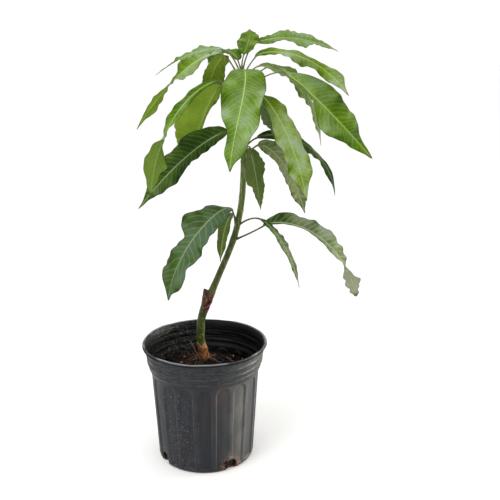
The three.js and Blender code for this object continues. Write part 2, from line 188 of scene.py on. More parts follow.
def times(tree, *masks):
    """The masks' product. A mask is a socket, a plain number or the name of a stored number."""
    masks = [stored(tree, mask) if isinstance(mask, str) else mask for mask in masks]
    product = masks[0]
    for mask in masks[1:]:
        product = reckon(tree, "MULTIPLY", product, mask)
    return product


def blend(tree, share, first, second):
    """The first colour, with the second over it by a share. A colour is a socket or a shade 0xrrggbb."""
    first, second = [linear(shade) if isinstance(shade, int) else shade for shade in (first, second)]
    return add(tree, "Mix", {0: share, 6: first, 7: second}, data_type="RGBA").outputs[2]


def washed(tree, colour, *coats):
    """The colour under thin coats, laid one over another. Each is a shade and the masks that thin it."""
    for shade, *masks in coats:
        colour = blend(tree, times(tree, *masks), colour, shade)
    return colour


def rise(tree, value, start, end):
    """0 at start and 1 at end, smoothly, whichever of the two is higher."""
    inputs = {"Value": value, "From Min": start, "From Max": end}
    return add(tree, "MapRange", inputs, interpolation_type="SMOOTHSTEP").outputs["Result"]


def scaled(tree, mask, low, high):
    """A mask's 0 to 1 turned into low to high."""
    return add(tree, "MapRange", {"Value": mask, "To Min": low, "To Max": high}).outputs["Result"]


def new_group(name, inputs, outputs):
    """A shader group of named inputs, each a number or a colour, and named outputs."""
    group = bpy.data.node_groups.new(name, "ShaderNodeTree")
    for title, value in inputs.items():
        kind = "NodeSocketColor" if isinstance(value, list) else "NodeSocketFloat"
        group.interface.new_socket(title, in_out="INPUT", socket_type=kind).default_value = value
    for title, kind in outputs.items():
        group.interface.new_socket(title, in_out="OUTPUT", socket_type=kind)
    taken = group.nodes.new("NodeGroupInput").outputs
    given = group.nodes.new("NodeGroupOutput").inputs
    return group, taken, given


def new_material(name, **plain):
    """A material with one Principled shader, and the shader's inputs that are the same all over."""
    material = bpy.data.materials.new(name)
    material.use_nodes = True
    skin = material.node_tree.nodes["Principled BSDF"].inputs
    for title, value in plain.items():
        skin[title.replace("_", " ")].default_value = value
    return material, material.node_tree


def dressed(material, colour, **varied):
    """The material with its colour, and what else varies over it, linked to its shader."""
    skin = material.node_tree.nodes["Principled BSDF"].inputs
    for title, socket in {"Base Color": colour, **varied}.items():
        material.node_tree.links.new(socket, skin[title])
    return material


# Patches of dust, damp, moss or worn skin: a mask that covers a share of the surface.
patches, taken, given = new_group(
    "patches",
    {"Size": 20.0, "Stretch": 1.0, "Cover": 0.5, "Soft": 0.1, "Shift": 0.0},
    {"Mask": "NodeSocketFloat"},
)
place = add(patches, "TexCoord", {}).outputs["Object"]
upright = add(patches, "CombineXYZ", {0: 1.0, 1: 1.0, 2: reckon(patches, "DIVIDE", 1.0, taken["Stretch"])})
squeezed = add(patches, "VectorMath", {0: place, 1: upright.outputs[0]}, operation="MULTIPLY")
grain_inputs = {"Vector": squeezed.outputs[0], "W": taken["Shift"], "Detail": 5.0, "Roughness": 0.6}
grain_inputs["Scale"] = reckon(patches, "DIVIDE", 1 / MM, taken["Size"])
grain = add(patches, "TexNoise", grain_inputs, noise_dimensions="4D").outputs["Fac"]
middle = scaled(patches, taken["Cover"], 0.74, 0.26)  # the noise lies between these two
low = reckon(patches, "SUBTRACT", middle, taken["Soft"])
high = reckon(patches, "ADD", middle, taken["Soft"])
patches.links.new(rise(patches, grain, low, high), given["Mask"])


def patchy(tree, **values):
    """A mask of patches with a material's own size, stretch, cover, soft edge and shift."""
    titled = {title.capitalize(): value for title, value in values.items()}
    return add(tree, "Group", titled, node_tree=patches).outputs["Mask"]


def bump(tree, height, depth):
    """A normal from relief of a depth in millimetres. Its height is a socket, or the values of patches."""
    height = patchy(tree, **height) if isinstance(height, dict) else height
    return add(tree, "Bump", {"Height": height, "Distance": depth * MM}).outputs["Normal"]


def make_pot():
    outside = [0, 1.2, 2.5, 4, 6, 8, 9, 10, 11, 12.5, 15, 20, 28, 45, 70, 95, 120, 145, 162, 168]
    outside += list(np.arange(170, 199.5, 1.1)) + [201, 203, 204.5]
    outside += list(np.arange(205.4, 232, 0.8)) + [235, 238, 241]
    inside = [z for z in reversed(outside) if 160 < z < 241] + [120, 60, 12]
    rows = [ring(radius, height) for radius, height in base_profile]
    rows += [wall_ring(z) for z in outside]
    rows += [ring(radius, height) for radius, height in lip_profile]
    rows += [wall_ring(z, pot_wall) for z in inside]
    rows += [ring(93, floor_top), ring(3, floor_top)]
    points = np.concatenate(rows)
    x, y, z = points.T
    turn, share = np.arctan2(y, x), z / pot_height
    spread = 0.5 * np.sin(2 * turn + 0.6) + 0.3 * np.sin(3 * turn + 2.0) + 0.25 * np.sin(7 * turn + z / 30)
    points[:, :2] *= (1 + share**2 * spread / 120)[:, None]
    band = smooth_share(z, 198, 206) * smooth_share(-z, -241, -236)
    dents = np.array([noise.noise(Vector((x / 26, y / 26, z / 7))) for x, y, z in points])
    points[:, :2] *= (1 + band * dents * dent_depth / band_radius)[:, None]
    warp = 0.7 * np.sin(3 * turn + 0.5) + 0.4 * np.sin(8 * turn) + 0.2 * np.sin(19 * turn)
    points[:, 2] += share**6 * warp
    return mesh_piece("pot_shell", points, tube_faces(len(rows), pot_columns))


def hole_centre(i):
    """The middle of a drainage hole."""
    angle = hole_turn + 2 * math.pi / hole_count * i
    return hole_ring * math.cos(angle), hole_ring * math.sin(angle), hole_height


def cut_holes(shell):
    """Drills the drainage holes through the corner of the wall and the floor."""
    drills = bmesh.new()
    for i in range(hole_count):
        made = bmesh.ops.create_uvsphere(drills, u_segments=28, v_segments=16, radius=hole_radius * MM)
        bmesh.ops.translate(drills, verts=made["verts"], vec=Vector(hole_centre(i)) * MM)
    drill_mesh = bpy.data.meshes.new("drills")
    drills.to_mesh(drill_mesh)
    drills.free()
    drill = bpy.data.objects.new("drills", drill_mesh)
    bpy.context.scene.collection.objects.link(drill)
    cut = shell.modifiers.new("holes", "BOOLEAN")
    cut.operation, cut.object, cut.solver = "DIFFERENCE", drill, "EXACT"
    ready = shell.evaluated_get(bpy.context.evaluated_depsgraph_get())
    mesh = bpy.data.meshes.new_from_object(ready)
    shell.modifiers.clear()
    shell.data = mesh
    bpy.data.objects.remove(drill)
    mesh.set_sharp_from_angle(angle=math.radians(40))


pot_flecks = dict(size=2.4, cover=0.24, soft=0.05, shift=4)
pot_smears = dict(size=9, stretch=0.3, cover=0.45, soft=0.14, shift=8)
pot_pits = dict(size=6, stretch=1.6, soft=0.25, shift=7)
pit_depth = 0.12


def with_marks(tree, colour, fleck):
    """The colour with the lip's crest, pale from wear and with a painted highlight, and dried splashes and
    mud from the drainage holes on it.
    """
    crust = patchy(tree, size=5, shift=6)
    marks = [(0x8A8C90, "crest", 0.7), (0x8E9098, "splash", fleck, 0.8), (0x74462F, "mud", crust)]
    return washed(tree, colour, *marks, (0xC0AE98, "mud", fleck))


def pot_plastic():
    """The outside's black plastic, greyed by rubbing, with a painted sheen on its right side."""
    material, tree = new_material("pot_plastic", IOR=1.45, Specular_IOR_Level=0.3)
    tint = patchy(tree, size=60, cover=0.45, soft=0.2, shift=1)
    streak = patchy(tree, size=8, stretch=12, cover=0.45, soft=0.16, shift=2)
    film = patchy(tree, size=34, stretch=1.6, cover=0.42, soft=0.16, shift=3)
    rubbed = patchy(tree, size=26, stretch=2, soft=0.14, shift=5)
    colour = washed(
        tree,
        blend(tree, tint, 0x11141D, 0x16181C),
        (0x2B2D34, streak, 0.35),
        (0x38312C, film, 0.15),
        (0x07080B, "band", 0.4),
        (0x3A3E3C, "band", patchy(tree, **pot_smears), 0.6),
        (0x3E2A2A, "stain", 0.4),
        # Painted sheen on the right side's flutes, where the light from the right falls.
        (0x66665E, "dust", scaled(tree, rubbed, 0.22, 0.46)),
        # Flute edges and hoop tops: pale partly from scuffs and partly from a painted highlight.
        (0x505254, "ridge", rubbed, 0.45),
        # Painted shade: near black under the lip's overhang and in the groove below each hoop.
        (0x030303, "crease", 0.9),
    )
    colour = with_marks(tree, colour, patchy(tree, **pot_flecks))
    dull = reckon(tree, "MAXIMUM", scaled(tree, film, 0.44, 0.62), times(tree, "mud", 0.8))
    # The painted shade is dull as well as dark.
    dull = reckon(tree, "MAXIMUM", dull, stored(tree, "crease"))
    return dressed(material, colour, Roughness=dull, Normal=bump(tree, pot_pits, pit_depth))


def pot_lining():
    """The inside's deep black, damp plastic, with streaks of painted highlight and pale flecks of dust where
    the light falls in.
    """
    material, tree = new_material("pot_lining", IOR=1.45, Roughness=0.55, Specular_IOR_Level=0.18)
    fleck = patchy(tree, **pot_flecks)
    # Painted highlight streaks on the inside's left wall.
    colour = blend(tree, times(tree, "lining", patchy(tree, **pot_smears)), 0x020202, 0x34342F)
    colour = with_marks(tree, washed(tree, colour, (0x8E9098, "lining", fleck)), fleck)
    return dressed(material, colour, Normal=bump(tree, pot_pits, pit_depth))


def near_turn(angles, degrees, spread):
    """1 at a direction round the pot's axis, and less to either side of it."""
    return np.exp(((np.cos(angles - math.radians(degrees)) - 1) / math.radians(spread) ** 2))


def mark_pot(shell):
    """Stores where the wall is rubbed, stained or muddy, where it has painted highlights, sheen and shade,
    and gives its two sides their plastics.
    """
    flat = np.zeros((2, len(shell.data.vertices) * 3), dtype=np.float32)
    shell.data.vertices.foreach_get("co", flat[0])
    shell.data.vertices.foreach_get("normal", flat[1])
    points, normals = flat.reshape(2, -1, 3)
    points = points / MM
    height = points[:, 2]
    angles = np.arctan2(points[:, 1], points[:, 0])
    outer = (normals[:, :2] * points[:, :2]).sum(axis=1) > 0
    press = np.array([flute_press(a, z) for a, z in zip(angles, height)]) / flute_depth
    # Flute edges and hoop tops: partly scuffed, partly a painted highlight.
    ridge = np.exp(-(((press - 0.35) / 0.3) ** 2)) * (height < arch_top + 2) * (height > 10)
    # Painted shade under the lip, and in the groove below each hoop.
    crease = outer * smooth_share(-height, -247, -246) * smooth_share(height, 240.5, 241.5)
    for hoop in hoop_heights:
        ridge = ridge + 0.5 * np.exp(-(((height - hoop) / 1.4) ** 2))
        crease = crease + 0.5 * outer * np.exp(-(((height - hoop + 3.4) / 1.3) ** 2))
    mud = np.exp(-np.clip(height, 0, 60) / 6) * 0.2
    splash = 0.8 * near_turn(angles, -120, 14) * smooth_share(-height, -190, -165) * outer
    splash = splash + 2.0 * near_turn(angles, 110, 6) * (np.abs(height - 221) < 7) * ~outer
    for i in range(hole_count):
        away = np.linalg.norm(points - hole_centre(i), axis=1)
        muddy = 0.2 if i == 2 else 0.7
        mud = np.maximum(mud, muddy * (1 - smooth_share(away, hole_radius, hole_radius + 12)))
        splash = np.maximum(splash, 0.9 * (1 - smooth_share(away, hole_radius + 2, hole_radius + 18)))
    set_numbers(
        shell,
        # The inside's left wall under the rim: painted highlight streaks and pale flecks.
        lining=near_turn(angles, 135, 24) * (1 - outer) * (height > 160),
        # The lip's top edge: pale from wear, with a painted highlight along it.
        crest=smooth_share(height, 247.2, 247.9) * (np.hypot(points[:, 0], points[:, 1]) > 122),
        crease=np.clip(crease, 0, 1),
        ridge=ridge,
        stain=near_turn(angles, -69, 8) * smooth_share(height, 130, 165) * (height < 200) * outer,
        band=smooth_share(height, 190, 200) * outer,
        # Painted sheen on the flutes of the right side.
        dust=near_turn(angles, -47, 11) * (height > 8) * (height < 190) * outer,
        splash=np.clip(splash, 0, 1),
        mud=mud,
    )
    inward = [not outer[list(face.vertices)].any() for face in shell.data.polygons]
    shell.data.materials.append(pot_plastic())
    shell.data.materials.append(pot_lining())
    shell.data.polygons.foreach_set("material_index", np.array(inward, dtype=np.int32))


pot = make_pot()
cut_holes(pot)
mark_pot(pot)
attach(pot, "root")
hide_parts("pot")

# ---------------------------------------------------------------- potting mix
# Composted bark, peat and perlite, packed to a mound round the trunk. Loose chips, white perlite
# grains and fine rootlets lie on it, and grains show through the drainage holes.

soil_edge_height = 176
mound_top = 207.5
mound_radius = 18
mound_share = 0.28  # where the mound's level top ends, as a share of the way to the wall
wall_slope, soil_gap = 0.06, 1.2
soil_edge = body_radius - (body_height - soil_edge_height) * wall_slope - flute_depth - pot_wall - soil_gap
soil_foot = 2.8
soil_columns = 260
lump_height = 2.6
bare_radius, rim_gap = 14, 4  # no loose grain lies nearer to the trunk, or to the wall
grains_in_hole = 14  # about how many grains of each kind show in the front drainage hole
root_count, roots_at_trunk = 260, 60


def mix_height(radius):
    """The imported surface's height at a distance from the pot's axis."""
    share = np.clip(radius / soil_edge, mound_share, 1)
    climb = ((1 - share) / (1 - mound_share)) ** 1.3
    slope = soil_edge_height + 2 + (mound_top - soil_edge_height - 4) * climb
    return slope + 2 * smooth_share(-radius, -30, -mound_radius)


def rough_height(x, y):
    """The surface with its lumps."""
    radius = math.hypot(x, y)
    lump = noise.fractal(Vector((x / 16, y / 16, 3)), 0.8, 2.1, 5)
    calm = 0.25 + 0.75 * float(smooth_share(radius, 14, 40))
    return float(mix_height(radius)) + lump_height * calm * lump


def make_soil():
    angles = turns_round(soil_columns)
    rows = [ring(3, soil_foot, soil_columns), ring(90, soil_foot, soil_columns)]
    for z in list(np.arange(6, 40, 2.0)) + [60, 100, 140, 165]:
        rough = [1.2 * noise.noise(Vector((30 * math.cos(a), 30 * math.sin(a), z / 4))) for a in angles]
        radius = wall_radius(z) - flute_depth - pot_wall - 1.8 + np.array(rough)
        rows.append(ring(radius, z, soil_columns))
    for radius in np.linspace(soil_edge, 2, 110):
        flat = ring(radius, 0, soil_columns)
        flat[:, 2] = [rough_height(x, y) for x, y, _ in flat]
        rows.append(flat)
    return mesh_piece("soil_surface", np.concatenate(rows), tube_faces(len(rows), soil_columns), damp_mix())


def damp_mix():
    """Crumbs of bark and peat, darker where they are damp."""
    material, tree = new_material("damp_mix", Specular_IOR_Level=0.15)
    damp = patchy(tree, size=26, soft=0.12, shift=2)
    crumbs = blend(tree, patchy(tree, size=3, soft=0.2, shift=1), 0x030202, 0x080504)
    colour = washed(tree, crumbs, (0x030202, damp, 0.4))
    relief = bump(tree, dict(size=1.6, soft=0.3, shift=3), 0.5)
    return dressed(material, colour, Roughness=rise(tree, damp, 2.0, -1.0), Normal=relief)


def joined(shapes):
    """Several shapes' points and faces as one shape's."""
    points, faces, first = [], [], 0
    for shape_points, shape_faces in shapes:
        points.append(shape_points)
        faces += [tuple(first + i for i in face) for face in shape_faces]
        first += len(shape_points)
    return np.concatenate(points), faces


def lumps(name, material, seed, count, smallest, largest, squash, sunk):
    """Loose grains scattered over the mix, and some in the front drainage hole, joined into one piece."""
    random.seed(seed)
    model = bmesh.new()
    bmesh.ops.create_icosphere(model, subdivisions=1, radius=1)
    base = np.array([v.co for v in model.verts])
    base_faces = [tuple(v.index for v in face.verts) for face in model.faces]
    model.free()
    grains, pale = [], []
    for _ in range(count):
        spread = math.sqrt(random.random())  # even over the mix
        radius = bare_radius + (soil_edge - rim_gap - bare_radius) * spread
        angle = random.uniform(0, 2 * math.pi)
        x, y = radius * math.cos(angle), radius * math.sin(angle)
        size = smallest + (largest - smallest) * random.random() ** 2
        stretch = [random.uniform(0.8, 1.5), random.uniform(0.5, 0.9), squash * random.uniform(0.7, 1.3)]
        jagged = base * np.array([[random.uniform(0.75, 1.2)] for _ in base])
        turn, tip, lean = random.uniform(0, 6.28), random.gauss(0, 0.45), random.gauss(0, 0.45)
        grain = jagged * np.array(stretch) * size @ turning(0, tip) @ turning(1, lean) @ turning(2, turn)
        low = rough_height(x, y) + size * squash * sunk
        if random.random() < grains_in_hole / count:
            low, angle = random.uniform(3, 17), math.radians(random.uniform(-65, -59))
            radius = wall_radius(low) - flute_depth - pot_wall - 1.5
            x, y = radius * math.cos(angle), radius * math.sin(angle)
        pale += [random.random() ** (4 if x < 0 else 6)] * len(base)
        grains.append((grain + [x, y, low], base_faces))
    points, faces = joined(grains)
    piece = mesh_piece(name, points, faces, material)
    piece.data.polygons.foreach_set("use_smooth", [False] * len(faces))
    set_numbers(piece, pale=pale)
    return piece


def turning(axis, angle):
    """A turn about one axis, as a matrix for rows of points."""
    cos, sin = math.cos(angle), math.sin(angle)
    matrix = np.identity(3)
    others = [i for i in range(3) if i != axis]
    matrix[np.ix_(others, others)] = [[cos, sin], [-sin, cos]]
    return matrix


def grain_skin(name, dark, light, stained, roughness, size):
    """Grains or roots from a dark to a light shade, each by its own number, with stains."""
    material, tree = new_material(name, Roughness=roughness, Specular_IOR_Level=0.15)
    colour = blend(tree, stored(tree, "pale"), dark, light)
    stain = patchy(tree, size=size, cover=0.35, soft=0.12, shift=9)
    return dressed(material, washed(tree, colour, (stained, stain, 0.6)))


def strand(route, radii, sides=6):
    """A thin tube along a route, as points and faces."""
    rows = []
    route = np.asarray(route, dtype=float)
    turns = turns_round(sides)
    for i, place in enumerate(route):
        ahead = route[min(i + 1, len(route) - 1)] - route[max(i - 1, 0)]
        ahead /= np.linalg.norm(ahead)
        side = np.cross(ahead, [0.3, 0.2, 1])
        side /= np.linalg.norm(side)
        over = np.cross(side, ahead)
        rows.append(place + radii[i] * (np.outer(np.cos(turns), side) + np.outer(np.sin(turns), over)))
    return np.concatenate(rows), tube_faces(len(rows), sides)


def make_rootlets(material):
    """Fine roots that wander over the mix, thick at the trunk's foot and loose elsewhere."""
    random.seed(21)
    roots, pale = [], []
    for i in range(root_count):
        from_trunk = i < roots_at_trunk
        angle = random.uniform(0, 2 * math.pi)
        radius = random.uniform(9, 14) if from_trunk else random.uniform(12, soil_edge - 6)
        heading = angle + random.gauss(0, 0.35) if from_trunk else random.uniform(0, 2 * math.pi)
        x, y = radius * math.cos(angle), radius * math.sin(angle)
        steps = random.randint(7, 13)
        step = random.uniform(2.2, 4.2) if from_trunk else random.uniform(1.2, 2.6)
        thick = random.uniform(0.4, 1.1) if from_trunk else random.uniform(0.15, 0.4)
        route = []
        for share in np.arange(steps) / (steps - 1):
            hop = 1.2 * math.sin(math.pi * share) * random.random()
            start_lift = (4.0 if from_trunk else 0.6) * (1 - share) ** 2
            if math.hypot(x, y) > soil_edge - 2:
                break
            route.append((x, y, rough_height(x, y) + hop + start_lift + thick * 0.3))
            x += step * math.cos(heading)
            y += step * math.sin(heading)
            heading += random.gauss(0, 0.4)
        if len(route) < 4:
            continue
        roots.append(strand(route, thick * np.linspace(1, 0.25, len(route))))
        pale += [random.random() ** 4] * len(roots[-1][0])
    # One longer root lies curved over the mix on the right.
    bow = [(28, 30), (38, 34), (48, 32), (57, 26), (64, 18), (70, 10)]
    roots.append(strand([(x, y, rough_height(x, y) + 1.5) for x, y in bow], [0.9, 0.9, 0.8, 0.8, 0.7, 0.6]))
    pale += [0.9] * len(roots[-1][0])
    piece = mesh_piece("rootlets", *joined(roots), material)
    set_numbers(piece, pale=pale)
    return piece


soil = make_soil()
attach(soil, "root")
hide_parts("potting_soil")
bark_chip = grain_skin("bark_chip", 0x060302, 0x6A3E28, 0x120906, roughness=0.8, size=3.5)
white_grain = grain_skin("white_grain", 0x8A867C, 0xC8C6BE, 0x5E584C, roughness=0.9, size=2.5)
root_skin = grain_skin("root_skin", 0x120B07, 0x8C7260, 0x24150D, roughness=0.7, size=5)
chips = lumps("bark_chips", bark_chip, 5, 1300, smallest=1.2, largest=7.5, squash=0.35, sunk=0.3)
perlite = lumps("perlite", white_grain, 8, 90, smallest=0.8, largest=2.4, squash=0.9, sunk=0.5)
rootlets = make_rootlets(root_skin)
for piece in (chips, perlite, rootlets):
    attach(piece, "root")

# ---------------------------------------------------------------- trunk
# The green seedling stock stands on a peeled brown foot. At the graft its cut snag stays beside the
# scion, which leans right to an old node, turns upright there and tapers to the bud in the crown.

trunk_foot = mound_top + 0.3
trunk_tip = 796
trunk_line = np.array(
    [(0, trunk_foot), (-3, 225), (-8, 248), (-8, 272), (-6, 294), (0, 315), (9, 338)]
    + [(27, 380), (62, 468), (76, 535), (81, 620), (80, 700), (77, trunk_tip)],
    dtype=float,
)
trunk_radius = np.array(
    [(trunk_foot, 13), (213, 11.2), (222, 10.2), (238, 9.6), (246, 8.8), (300, 8.4), (318, 9.6)]
    + [(332, 10.2), (346, 9), (362, 7.8), (385, 7), (452, 6.5), (464, 7.3), (474, 6.4), (560, 5.9)]
    + [(630, 5.7), (645, 6.3), (662, 5.3), (735, 4.7), (776, 4), (788, 3), (trunk_tip, 1)]
)
peeled_to = 243  # the height that the brown foot reaches
leaf_scars = [  # heights and directions of the small scars that old leaves left
    (438, 200), (452, -60), (520, 20), (548, 150), (590, -120), (612, 60), (690, 200), (705, -40), (716, 110)
]
snag_foot, snag_top, snag_radius, snag_x, snag_lean = 316, 357, 5.5, -2, 7
trunk_sides = 48
snag_sides = 26


def centre_line(knots, samples=60):
    """A smooth curve through the knots, with centripetal spacing between them."""
    knots = np.concatenate([[2 * knots[0] - knots[1]], knots, [2 * knots[-1] - knots[-2]]])
    curve = []
    for i in range(1, len(knots) - 2):
        before, start, end, after = knots[i - 1 : i + 3]
        gaps = [np.linalg.norm(b - a) ** 0.5 for a, b in ((before, start), (start, end), (end, after))]
        leave = (start - before) / gaps[0] - (end - before) / (gaps[0] + gaps[1]) + (end - start) / gaps[1]
        arrive = (end - start) / gaps[1] - (after - start) / (gaps[1] + gaps[2]) + (after - end) / gaps[2]
        leave, arrive = leave * gaps[1], arrive * gaps[1]
        for t in np.arange(samples) / samples:
            bend = -3 * start + 3 * end - 2 * leave - arrive
            swing = 2 * start - 2 * end + leave + arrive
            curve.append(start + leave * t + bend * t**2 + swing * t**3)
    curve.append(knots[-2])
    return np.array(curve)


stem_curve = centre_line(trunk_line)


def stem_x(z):
    """How far right of the pot's axis the stem's centre is at a height."""
    return np.interp(z, stem_curve[:, 1], stem_curve[:, 0])


def bark_relief(angle, z, peel, scar):
    """How far the bark stands out or in at a place on the stem."""
    x, y = math.cos(angle), math.sin(angle)
    fibre = noise.fractal(Vector((x * 3.2, y * 3.2, z / 26)), 1.0, 2.0, 4)
    flake = noise.fractal(Vector((x * 2.2, y * 2.2, z / 6 + 9)), 0.8, 2.1, 4)
    return 0.22 * fibre + peel * 0.6 * flake + scar * 1.5 * flake


def make_trunk():
    heights = np.append(np.arange(trunk_foot, trunk_tip, 1.5), trunk_tip)
    angles = turns_round(trunk_sides)
    peel_edge = peeled_to + 3.0 * np.sin(2 * angles + 1) + 2.0 * np.sin(5 * angles)
    facing_graft = 0.5 + 0.5 * np.cos(angles + math.radians(28))
    rows, peels, scars, soils = [], [], [], []
    for z in heights:
        flare = 1 - float(smooth_share(z, trunk_foot, trunk_foot + 16))
        peel = smooth_share(-z, -peel_edge - 2, -peel_edge + 2)
        span = smooth_share(z, 306, 322) * smooth_share(-z, -358, -342)
        scar = span * smooth_share(facing_graft, 0.38 - 0.2 * float(smooth_share(z, 325, 335)), 0.62)
        relief = [bark_relief(a, z, p, s) for a, p, s in zip(angles, peel, scar)]
        radius = np.interp(z, *trunk_radius.T) * (1 + 0.14 * flare * np.cos(5 * angles + 0.8))
        scale = min(1.0, radius.mean() / 5)
        radius = radius + np.array(relief) * scale
        for height, turn in leaf_scars:
            near = np.cos(angles - math.radians(turn)) - 1
            radius = radius + 0.9 * np.exp(near * 9) * math.exp(-(((z - height) / 3.2) ** 2)) * scale
        x, y = stem_x(z) + radius * np.cos(angles), radius * np.sin(angles)
        rows.append(np.stack([x, y, z + 0 * angles], axis=1))
        peels.append(peel)
        scars.append(scar)
        # The peeled foot is darker where it is damp near the mix, and on its left side, which is painted
        # shade.
        damp_foot = 0.8 * (216 - z) / 10 * (z < 216)
        soils.append(peel * np.clip(0.5 - 0.6 * np.cos(angles - 0.3) + damp_foot, 0, 1))
    snag = make_snag()
    on_snag = np.zeros(len(snag[0]))
    stem = np.concatenate(rows), tube_faces(len(rows), trunk_sides)
    piece = mesh_piece("trunk_bark", *joined([stem, snag]), bark())
    set_numbers(
        piece,
        peel=np.concatenate([*peels, on_snag]),
        scar=np.concatenate([*scars, on_snag + 0.8]),
        soiled=np.concatenate([*soils, on_snag]),
    )
    return piece


def make_snag():
    """The stock's old top, cut off on a slant above the graft, as points and faces."""
    angles = turns_round(snag_sides)
    rows = []
    profile = [(share, 1.0, 0.0) for share in np.linspace(0, 1, 24)]
    profile += [(1.0, 0.86, -0.3), (1.0, 0.5, -1.4), (1.0, 0.1, -1.8)]
    for share, inwards, drop in profile:
        z = snag_foot + (snag_top - snag_foot) * share
        slant = -2.5 * share * np.cos(angles)
        around = [Vector((math.cos(a) * 2, math.sin(a) * 2, z / 7)) for a in angles]
        rough = [0.5 * noise.fractal(spot, 0.8, 2, 4) for spot in around]
        radius = (snag_radius + np.array(rough)) * inwards
        x = snag_x + snag_lean * share + radius * np.cos(angles)
        rows.append(np.stack([x, radius * np.sin(angles), z + slant * inwards + drop], axis=1))
    return np.concatenate(rows), tube_faces(len(rows), snag_sides)


def bark():
    """Smooth green bark with corky patches, brown and flaking where it is peeled or scarred."""
    material, tree = new_material("bark", Specular_IOR_Level=0.2)
    place = add(tree, "TexCoord", {}).outputs["Object"]
    height = add(tree, "SeparateXYZ", {0: place}).outputs["Z"]
    mottle = patchy(tree, size=9, stretch=3, cover=0.45, shift=1)
    cork = patchy(tree, size=5, stretch=2, cover=0.3, soft=0.05, shift=2)
    fleck = patchy(tree, size=3, stretch=6, cover=0.35, soft=0.08, shift=3)
    stock = washed(tree, blend(tree, mottle, 0x283A0E, 0x3A4218), (0x7A6A52, cork, 0.85))
    scion = washed(tree, blend(tree, mottle, 0x303A12, 0x434C1E), (0x66683E, fleck, 0.6))
    fresh = washed(tree, blend(tree, mottle, 0x3C4C18, 0x505E28), (0x8E926A, fleck, 0.6))
    green = blend(tree, rise(tree, height, 0.33, 0.37), stock, scion)
    green = blend(tree, rise(tree, height, 0.46, 0.515), green, fresh)
    flake = patchy(tree, size=4.5, soft=0.08, shift=4)
    shade = patchy(tree, size=8, cover=0.38, soft=0.08, shift=5)
    peeled = blend(tree, flake, 0x8A5026, 0xBE8654)
    # The peeled foot's damp dirt near the mix, and the painted shade on its left side.
    peeled = washed(tree, peeled, (0x3E2210, shade, 0.7), (0x33190D, "soiled", 0.75))
    scarred = washed(tree, blend(tree, flake, 0x2A1412, 0x7C4C44), (0x140A09, shade))
    peel, scar = stored(tree, "peel"), stored(tree, "scar")
    torn = times(tree, peel, reckon(tree, "SUBTRACT", 1.0, peel), 3.0)
    colour = washed(tree, blend(tree, peel, green, peeled), (0x8E7C66, torn), (scarred, scar))
    rough = rise(tree, reckon(tree, "MAXIMUM", peel, scar), -0.9, 1.4)
    relief = bump(tree, dict(size=2, stretch=3, soft=0.3, shift=6), 0.18)
    return dressed(material, colour, Roughness=rough, Normal=relief)


trunk = make_trunk()
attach(trunk, "root")
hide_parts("trunk")

# A dry stick that leans out of the mix beside the foot.
stick_route = [(-29, -8, 251), (-22, -11, 238), (-16, -13, 227), (-10, -15, 216), (-5, -17, 203)]
stick_points, stick_faces = strand(stick_route, [1.2, 1.4, 1.4, 1.5, 1.5], sides=10)
stick = mesh_piece("dry_stick", stick_points, stick_faces, root_skin)
set_numbers(stick, pale=np.full(len(stick_points), 0.32))
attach(stick, "root")
